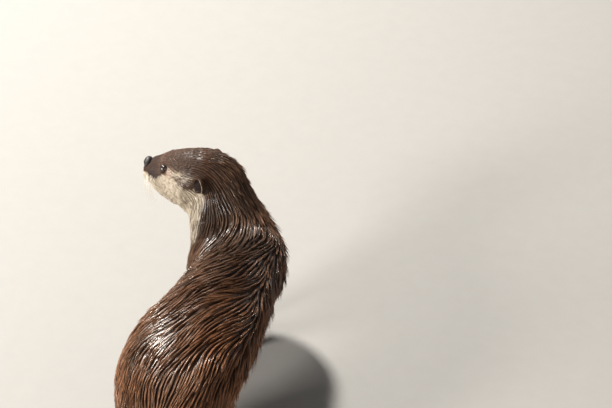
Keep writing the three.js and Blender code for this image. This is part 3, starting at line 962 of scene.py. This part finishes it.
class Comb:
    """Evenly spaced lines over the skin that follow the lay of the coat."""

    CELL = 3.0  # places are kept by the cube of this size that they are in
    MOST = 300  # places on a line, each way from its start
    START_ROOM, ROOM = 0.74, 0.55  # how near another line may be, at the start and further on, in gaps

    def __init__(self):
        self.cells = {}
        self.lines = []

    def cell(self, at):
        return tuple(int(c // self.CELL) for c in at)

    def keep(self, at, normal, own):
        self.cells.setdefault(self.cell(at), []).append((*at, *normal, own))

    def crowded(self, at, normal, room, own=-1):
        """Whether another line runs within `room` of the place, on the same side of the body."""
        reach = int(room // self.CELL) + 1
        ranges = (range(c - reach, c + reach + 1) for c in self.cell(at))
        for cell in itertools.product(*ranges):
            for x, y, z, nx, ny, nz, line in self.cells.get(cell, ()):
                if line != own and (x - at[0]) ** 2 + (y - at[1]) ** 2 + (z - at[2]) ** 2 < room * room:
                    if nx * normal[0] + ny * normal[1] + nz * normal[2] > 0.3:
                        return True
        return False

    def run(self, at, face, sign, own):
        """The line onwards from a place, until it meets another line or bare skin."""
        way = face_lie[face] * sign
        found = []
        for _ in range(self.MOST):
            gap = face_coat[face, 3]
            way = way * 0.4 + face_lie[face] * (0.6 * sign)
            way = way / math.sqrt(way @ way)
            onward, _, face, _ = tree.find_nearest(Vector(at + way * max(0.7 * gap, 1.1)))
            at = np.array(onward)
            if not haired[face] or face_lie[face] @ way * sign < 0.2:
                break
            if self.crowded(onward, face_normals[face], self.ROOM * gap, own):
                break
            found.append((at, face))
            self.keep(onward, face_normals[face], own)
        return found

    def fill(self, spots, faces):
        """Starts a line at each of the spots that is not crowded."""
        for spot, face in zip(spots, faces):
            if self.crowded(spot, face_normals[face], self.START_ROOM * face_coat[face, 3]):
                continue
            own = len(self.lines)
            self.keep(spot, face_normals[face], own)
            onward = self.run(spot, face, 1, own)
            back = self.run(spot, face, -1, own)
            line = back[::-1] + [(spot, face)] + onward
            if len(line) >= 3:
                self.lines.append(line)


def scattered(per_gap):
    """Places all over the haired skin, as many to each square of the gap as said, with their faces."""
    count = RNG.poisson(np.where(haired, per_gap * areas / face_coat[:, 3] ** 2, 0))
    face = RNG.permutation(np.repeat(np.arange(len(areas)), count))
    u, v = RNG.random((2, len(face)))
    u, v = np.where(u + v > 1, (1 - u, 1 - v), (u, v))
    a, b, c = corners[face].transpose(1, 0, 2)
    return a + u[:, None] * (b - a) + v[:, None] * (c - a), face


SPOTS_PER_GAP = 2.8
comb = Comb()
comb.fill(*scattered(SPOTS_PER_GAP))
LINE_TONE = RNG.random(len(comb.lines))

# Each kind of lock: how many make a clump, the space from clump to clump as a share of the hair's
# length, the gaps between ridges that it fills, how high it rises and how wide it is.
KINDS = dict(
    long=dict(hairs=6, space=0.32, gaps=(3.45, 9), rise=1.0, width=0.36),
    middle=dict(hairs=4, space=0.54, gaps=(2.15, 3.45), rise=0.9, width=0.42),
    short=dict(hairs=3, space=0.73, gaps=(0, 2.15), rise=0.55, width=0.48),
)
# How each kind's width changes from root to tip.
PROFILES = dict(
    long=(0.7, 1.0, 0.95, 0.75, 0.45, 0.05),
    middle=(0.75, 1.0, 0.85, 0.5, 0.05),
    short=(0.8, 1.0, 0.7, 0.06),
)
# The locks' brightness from the rump to the neck, by the place along the trunk: raised over the rump as
# painted wet sheen, and lower towards the shoulders and neck.
TONE_AND_SHEEN_ALONG = ((-60, 60, 230, 320, 355), (1.30, 1.22, 0.82, 0.74, 0.95))


def clumps(kind):
    """The clumps' middle lines: places, normals, the face each starts on and its line in the comb."""
    sizes = KINDS[kind]
    share = np.linspace(0, 1, len(PROFILES[kind]))
    low, high = sizes["gaps"]
    found = []
    for number, line in enumerate(comb.lines):
        places = np.array([at for at, _ in line])
        faces = np.array([f for _, f in line])
        run = runs(places)
        at = -RNG.random() * sizes["space"] * face_coat[faces[0], 2]
        while at < run[-1]:
            i = min(np.searchsorted(run, max(at, 0)), len(faces) - 1)
            length, gap = face_coat[faces[i], 2:]
            begin, at = max(at, 0), at + sizes["space"] * length * (0.7 + 0.6 * RNG.random())
            if not low <= gap < high:
                continue
            end = min(begin + length * (0.8 + 0.4 * RNG.random()), run[-1])
            if end - begin < 0.4 * length:
                continue
            s = begin + share * (end - begin)
            on_line = (places, face_normals[faces])
            path, up = (np.stack([np.interp(s, run, c) for c in v.T], axis=1) for v in on_line)
            found.append((path, up, faces[i], number))
    paths, ups, starts, lines = map(np.array, zip(*found))
    return paths, unit(ups), starts, lines


def locks(kind):
    """The corners of all locks, as [lock, step, corner, xyz], with the face of each and its tone, which
    is partly painted light and shade.
    """
    sizes = KINDS[kind]
    path, up, faces, line = clumps(kind)
    hairs, steps = sizes["hairs"], len(PROFILES[kind])
    count = len(path) * hairs
    clump = np.repeat(np.arange(len(path)), hairs)
    depth, length, gap = (c[:, None, None] for c in face_coat[faces][clump, 1:].T)
    share = np.linspace(0, 1, steps)[None, :, None]
    way = unit(np.gradient(path, axis=1))
    side = unit(np.cross(up, way))[clump]
    up, middle, way = up[clump], path[clump], way[clump]
    # A lock sits beside the clump's middle line, and the clump's locks meet near their tips.
    seat = (np.tile(np.arange(hairs), len(path)) + RNG.random(count)) / hairs - 0.5
    seat = seat[:, None, None]
    meet = RNG.normal(0, 0.16, len(path))[clump][:, None, None]
    lateral = gap * (seat * (1 - 0.74 * share) + meet * share**1.6)
    slip = (RNG.random(count) - 0.5)[:, None, None] * 0.30 * length * (0.3 + 0.7 * share)
    stand = ((RNG.random(len(path)) < 0.16)[clump] * (0.3 + 0.7 * RNG.random(count)))[:, None, None]
    # The tips stand off the right flank and the nape.
    at = middle[:, 0]
    wild = smoothstep(15, 60, at[:, 0]) * (at[:, 1] > 60)
    wild = wild + smoothstep(340, 365, at[:, 1]) * (at[:, 0] > -60)
    wild = np.clip(0.25 + wild, 0, 1)[:, None, None] * (kind != "short")
    tips = wild * (0.2 + 0.8 * RNG.random(len(path))[clump][:, None, None])
    crown = 1 - (2 * seat) ** 2
    lift = -0.55 + share * (0.35 + sizes["rise"] * depth * (0.35 + 0.75 * crown))
    lift = lift + stand * wild * depth * 1.5 * share**2 + tips * 0.5 * depth * share**3
    spine = middle + side * lateral + way * slip + up * lift
    half = 0.5 * gap * sizes["width"] * (0.7 + 0.6 * RNG.random((count, 1, 1)))
    half = half * np.array(PROFILES[kind])[None, :, None]
    left = spine - side * half - up * half * 0.35
    right = spine + side * half - up * half * 0.35
    crest = spine + up * half * 0.75
    # Each lock's tone is partly painted light and shade: lighter on its clump's crest and darker
    # towards the clump's edges, as shade in the gaps between wet ridges. The line's, the clump's and
    # each lock's random shares are the hair's own tone.
    clump_tone = RNG.random(len(path))[clump]
    tone = 0.55 * crown[:, 0, 0] ** 1.6 + 0.35 * LINE_TONE[line][clump] + 0.20 * clump_tone
    tone = tone + 0.25 * RNG.random(count) - 0.17
    tone = np.clip(tone * np.interp(at[:, 1], *TONE_AND_SHEEN_ALONG), 0, 1)
    rings = np.stack([left, crest, right], axis=2)
    rings[..., 2] = np.maximum(rings[..., 2], 0.05)
    return rings, faces[clump], tone


PATCH = 0.003  # how wide each lock is on the unwrap
BODY_LENGTH, LEG_LENGTH = 1400, 320  # of the lines, with room to spare


def unwrap(roots, faces):
    """Each root's place on an unwrap of the body: round its line by angle, along it by length."""
    *_, centre = survey(roots)
    line, run = face_line[faces], face_run[faces]
    off = roots - centre
    angle = np.arctan2(off[:, 0], off[:, 2]) / (2 * math.pi) + 0.5
    body = line == 0
    u = np.where(body, 0.02 + angle * 0.5, 0.56 + (line - 1) * 0.11 + angle * 0.09)
    v = np.where(body, 0.02 + run / BODY_LENGTH * 0.95, 0.05 + run / LEG_LENGTH * 0.9)
    return np.clip(np.stack([u, v], axis=1), 0.005, 0.99)


def coat_piece(name, chosen, rings, faces, tone):
    """One piece of the coat from the locks that `chosen` picks."""
    rings, faces, tone = rings[chosen], faces[chosen], tone[chosen]
    count, steps = rings.shape[:2]
    j, k = np.meshgrid(np.arange(steps - 1), np.arange(3), indexing="ij")
    a, b = 3 * j + k, 3 * j + (k + 1) % 3
    one = np.stack([a, a + 3, b + 3, b], axis=-1).reshape(-1, 4)
    caps = np.array([(0, 1, 2), (3 * steps - 1, 3 * steps - 2, 3 * steps - 3)])
    first = (np.arange(count) * steps * 3)[:, None, None]
    sets = [(one + first).reshape(-1, 4), (caps + first).reshape(-1, 3)]
    mesh, loops = new_mesh(name, rings.reshape(-1, 3), sets)
    along = np.tile(np.repeat(np.linspace(0, 1, steps), 3), count)
    lay = np.stack([np.tile([0.0, 0.5, 1.0], count * steps), along], axis=1)
    bake = np.repeat(unwrap(rings[:, 0, 1], faces), steps * 3, axis=0) + PATCH * lay
    for title, values in (("OFBake", bake), ("Lay", lay)):
        mesh.uv_layers.new(name=title).data.foreach_set("uv", values[loops].astype(np.float32).ravel())
    roots = np.repeat(rings[:, :1, 1], steps * 3, axis=1).reshape(-1, 3)
    marks = markings(0.45 * roots + 0.55 * rings.reshape(-1, 3))
    marks["tone"] = np.repeat(tone, steps * 3)
    marks["along"] = along
    marks["bare"] = np.zeros(len(along))
    marks["pale"] = np.where(np.repeat(face_ear[faces], steps * 3), 0, marks["pale"])
    for title, values in marks.items():
        set_mark(mesh, title, values)
    return new_object(name, mesh, wet_coat)


wet_coat = coat_finish()
coats = []
for kind in KINDS:
    rings, faces, tone = locks(kind)
    flat = rings.reshape(len(rings), -1, 3)
    root = rings[:, 0, 1]
    blocked = np.zeros(len(rings), bool)
    close = norm(to_head(flat[:, 0])) < HEAD_REACH + 5
    closest = flat[close].reshape(-1, 3)
    in_lids = near_eye(closest).reshape(close.sum(), -1).min(axis=1) < 1.12
    in_hollow = in_ear_opening(closest).reshape(close.sum(), -1).any(axis=1)
    blocked[close] = in_lids | (in_hollow & ~face_ear[faces[close]])
    line = face_line[faces]
    on_head = (to_head(root)[:, 0] > 6) & (line == 0) & in_reach(root)
    trunk = (line == 0) & ~on_head
    y = root[:, 1]
    regions = {
        "head": on_head,
        "neck": trunk & (y > 285),
        "chest": trunk & (y > 190) & (y <= 285),
        "loin": trunk & (y > 80) & (y <= 190),
        "rump": trunk & (y > -60) & (y <= 80),
        "tail": trunk & (y <= -60),
        "left_foreleg": line == 1,
        "left_hind_leg": line == 2,
        "right_foreleg": line == 3,
        "right_hind_leg": line == 4,
    }
    for region, chosen in regions.items():
        chosen = chosen & ~blocked
        if chosen.any():
            coats.append(coat_piece(f"{kind}_coat_{region}", chosen, rings, faces, tone))

skin_piece = new_object("skin", skin, skin_finish())
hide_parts(*FLESH, "left_ear", "right_ear")
for piece in [skin_piece, *coats]:
    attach(piece, "root")


# ---- eyes, nose, claws and whiskers


def eyeball(side):
    """A ball with a slight bulge in front. Its mark `ring` grows from the pupil backwards."""
    gaze = GAZE[side]
    across = unit(np.cross(gaze, HEAD_UP))
    up = np.cross(across, gaze)
    turn = np.linspace(0, 2 * math.pi, 48, endpoint=False)
    angles = np.linspace(math.pi - 0.08, 0.05, 32)
    bulge = 1 + 0.07 * np.exp(-((angles / 0.55) ** 2))
    rings = []
    around = np.cos(turn)[:, None] * across + np.sin(turn)[:, None] * up
    for a, b in zip(angles, bulge):
        way = math.cos(a) * gaze + math.sin(a) * around
        rings.append(EYE_AT[side] - 0.9 * gaze + EYE["radius"] * b * way)
    mesh = rings_mesh(f"{side}_eyeball", rings)
    ring = np.concatenate([np.repeat(angles / (math.pi / 2), len(turn)), [2, 0]])
    set_mark(mesh, "ring", np.clip(ring, 0, 1))
    piece = new_object(f"{side}_eyeball", mesh, wet_eye)
    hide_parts(f"{side}_eye")
    return piece


def nose_pad():
    """A broad bare nose with a groove down its middle and a nostril on each side."""
    turn = np.linspace(0, 2 * math.pi, 72, endpoint=False)
    angles = np.linspace(math.pi - 0.06, 0.03, 52)
    a, t = np.meshgrid(angles, turn, indexing="ij")
    lobe = 1 + 0.10 * np.cos(2 * t) * np.sin(a) ** 2
    ahead = 6.4 * np.cos(a)
    out = 10.6 * np.sin(a) * np.cos(t) * lobe
    over = 7.3 * np.sin(a) * np.sin(t) * (1 - 0.10 * np.cos(2 * t))
    front = smoothstep(-1.0, 3.0, ahead)
    width = np.abs(out)
    nostril = hill((width, 5.0, 1.7), (over - 0.25 * (width - 5), -0.4, 1.5))
    slit = hill((width, 8.2, 2.4), (over + 0.2 * (width - 8), -1.6, 0.8))
    groove = hill((out, 0, 0.8)) * smoothstep(-8, -1, -over - 1)
    wing = hill((width, 6.5, 2.8), (over, 2.6, 1.6))
    ahead = ahead + front * (-3.4 * nostril - 1.5 * slit - 0.8 * groove + 0.8 * wing)
    mesh = rings_mesh("nose_pad", in_head(ahead + NOSE["ahead"], out, over + NOSE["over"] - 0.5))
    piece = new_object("nose_pad", mesh, nose_finish())
    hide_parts("nose")
    return piece


def claws(side, end):
    """Five curved claws, each a tapered horn that is flat beneath."""
    radius = PAW[end]["toe_radius"]
    steps, sides = 10, 12
    angle = np.linspace(0, 2 * math.pi, sides, endpoint=False)
    wide = 0.72 * np.cos(angle)
    high = np.where(np.sin(angle) > 0, 1.15, 0.75) * np.sin(angle)
    horns = []
    for _, tip, heading in toe_lines(side, end):
        start = tip + heading * (radius * 0.35 - 1.5) + (0, 0, 1.9)
        finish = tip + heading * (radius * 0.35 + 8.6) + (0, 0, -3.4)
        middle = (start + finish) / 2 + (0, 0, 2.2)
        rings = []
        for t in np.linspace(0, 1, steps):
            at = (1 - t) ** 2 * start + 2 * t * (1 - t) * middle + t**2 * finish
            way = unit(2 * (1 - t) * (middle - start) + 2 * t * (finish - middle))
            across = unit(np.cross(way, (0, 0, 1)))
            thick = 2.0 * (1 - t) ** 0.75 + 0.25
            rings.append(at + thick * (wide[:, None] * across + high[:, None] * np.cross(across, way)))
        horns.append(rings_mesh("claw", rings))
    mesh = merged("claws", horns)
    along = np.concatenate([np.repeat(np.linspace(0, 1, steps), sides), [0, 1]])
    set_mark(mesh, "along", np.tile(along, len(horns)))
    paw_name = f"{side}_{'forepaw' if end == 'fore' else 'hind_foot'}"
    piece = new_object(f"{paw_name}_claws", mesh, horn)
    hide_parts(*(f"{paw_name}_claw_{i}" for i in range(1, 6)))
    return piece


def whisker_tree(material):
    """Geometry nodes that turn each bent line into a tapered hair, with its inputs' identifiers."""
    tree = bpy.data.node_groups.new("whiskers", "GeometryNodeTree")
    new, socket = tree.nodes.new, tree.interface.new_socket
    socket("Geometry", in_out="INPUT", socket_type="NodeSocketGeometry")
    thickness = socket("Thickness", in_out="INPUT", socket_type="NodeSocketFloat")
    sides = socket("Sides", in_out="INPUT", socket_type="NodeSocketInt")
    socket("Geometry", in_out="OUTPUT", socket_type="NodeSocketGeometry")
    given, result = new("NodeGroupInput"), new("NodeGroupOutput")
    curve, taper = new("GeometryNodeMeshToCurve"), new("GeometryNodeInputNamedAttribute")
    radius, ring = new("ShaderNodeMath"), new("GeometryNodeCurvePrimitiveCircle")
    tube, whole = new("GeometryNodeCurveToMesh"), new("GeometryNodeRealizeInstances")
    paint = new("GeometryNodeSetMaterial")
    taper.data_type, radius.operation = "FLOAT", "MULTIPLY"
    taper.inputs["Name"].default_value = "taper"
    ring.inputs["Radius"].default_value = 1
    tube.inputs["Fill Caps"].default_value = True
    paint.inputs["Material"].default_value = material
    for output, entry in (
        (given.outputs["Geometry"], curve.inputs["Mesh"]),
        (taper.outputs["Attribute"], radius.inputs[0]),
        (given.outputs["Thickness"], radius.inputs[1]),
        (given.outputs["Sides"], ring.inputs["Resolution"]),
        (curve.outputs["Curve"], tube.inputs["Curve"]),
        (ring.outputs["Curve"], tube.inputs["Profile Curve"]),
        (radius.outputs[0], tube.inputs["Scale"]),
        (tube.outputs["Mesh"], whole.inputs["Geometry"]),
        (whole.outputs["Geometry"], paint.inputs["Geometry"]),
        (paint.outputs["Geometry"], result.inputs["Geometry"]),
    ):
        tree.links.new(output, entry)
    return tree, {"Thickness": thickness.identifier, "Sides": sides.identifier}


def whiskers():
    """Stiff hairs on the whisker pads, over the eyes and on the chin, drooping with water."""
    roots = []
    for sign in SIGN.values():
        for row in range(4):
            for k in range(6):
                where = (102 - 3.2 * k, 30 * sign, -1 - 3.0 * row - 0.4 * k)
                roots.append((where, 24 + 4.5 * k + 10 * RNG.random(), 1.0))
        roots += [((70 - 5 * k, 22 * sign, 40), 10 + 2 * k, 0.6) for k in range(2)]
        roots += [((80 - 5 * k, 12 * sign, -45), 14 + 2 * k, 0.6) for k in range(3)]
    points, edges, taper = [], [], []
    for (ahead, out, over), length, thick in roots:
        core = in_head(min(ahead, 92), 0, max(min(over, 6), -16))
        aim = in_head(ahead, out, over) - core
        hit, normal, _, _ = tree.ray_cast(Vector(core + unit(aim) * 60), Vector(-unit(aim)))
        if hit is None:
            continue
        at = np.array(hit) - 0.6 * np.array(normal)
        drift = head_way(-0.35, math.copysign(0.35, out), -0.15)
        way = unit(0.7 * np.array(normal) + drift)
        way = unit(way + RNG.normal(0, 0.11, 3))
        sag = head_way(-0.5, 0.0, -1.0) * (0.10 + 0.03 * RNG.random())
        first = len(points)
        steps = 14
        for i in range(steps):
            points.append(at)
            taper.append(thick * (1 - 0.88 * i / (steps - 1)))
            at = at + way * length / (steps - 1)
            way = unit(way + sag)
        edges += [(first + i, first + i + 1) for i in range(steps - 1)]
    mesh = bpy.data.meshes.new("whisker_lines")
    mesh.from_pydata(place(np.array(points)).tolist(), edges, [])
    set_mark(mesh, "taper", taper)
    lines = bpy.data.objects.new("whiskers", mesh)
    bpy.context.scene.collection.objects.link(lines)
    group, names = whisker_tree(whisker_finish())
    nodes = lines.modifiers.new("whiskers", "NODES")
    nodes.node_group = group
    nodes[names["Thickness"]] = 0.00019
    nodes[names["Sides"]] = 5
    made = evaluated(lines)
    lines.modifiers.clear()
    lines.data = made
    made.shade_smooth()
    return lines


wet_eye, horn = eye_finish(), claw_finish()
pieces = {
    "eye": [eyeball(side) for side in SIGN],
    "nose": [nose_pad()],
    "claw": [claws(*leg) for leg in LEGS] + [whiskers()],
}
for slot, group in pieces.items():
    for piece in group:
        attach(piece, "root")


# ---- floor

sheet = bpy.data.meshes.new("floor")
sheet.from_pydata([(-30, -30, 0), (30, -30, 0), (30, 30, 0), (-30, 30, 0)], [], [(0, 1, 2, 3)])
new_object("floor", sheet, floor_finish())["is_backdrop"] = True

sizes = {"cad": CAD_BOX, "visual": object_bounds()}
{name: [[float(c) for c in corner] for corner in box] for name, box in sizes.items()}
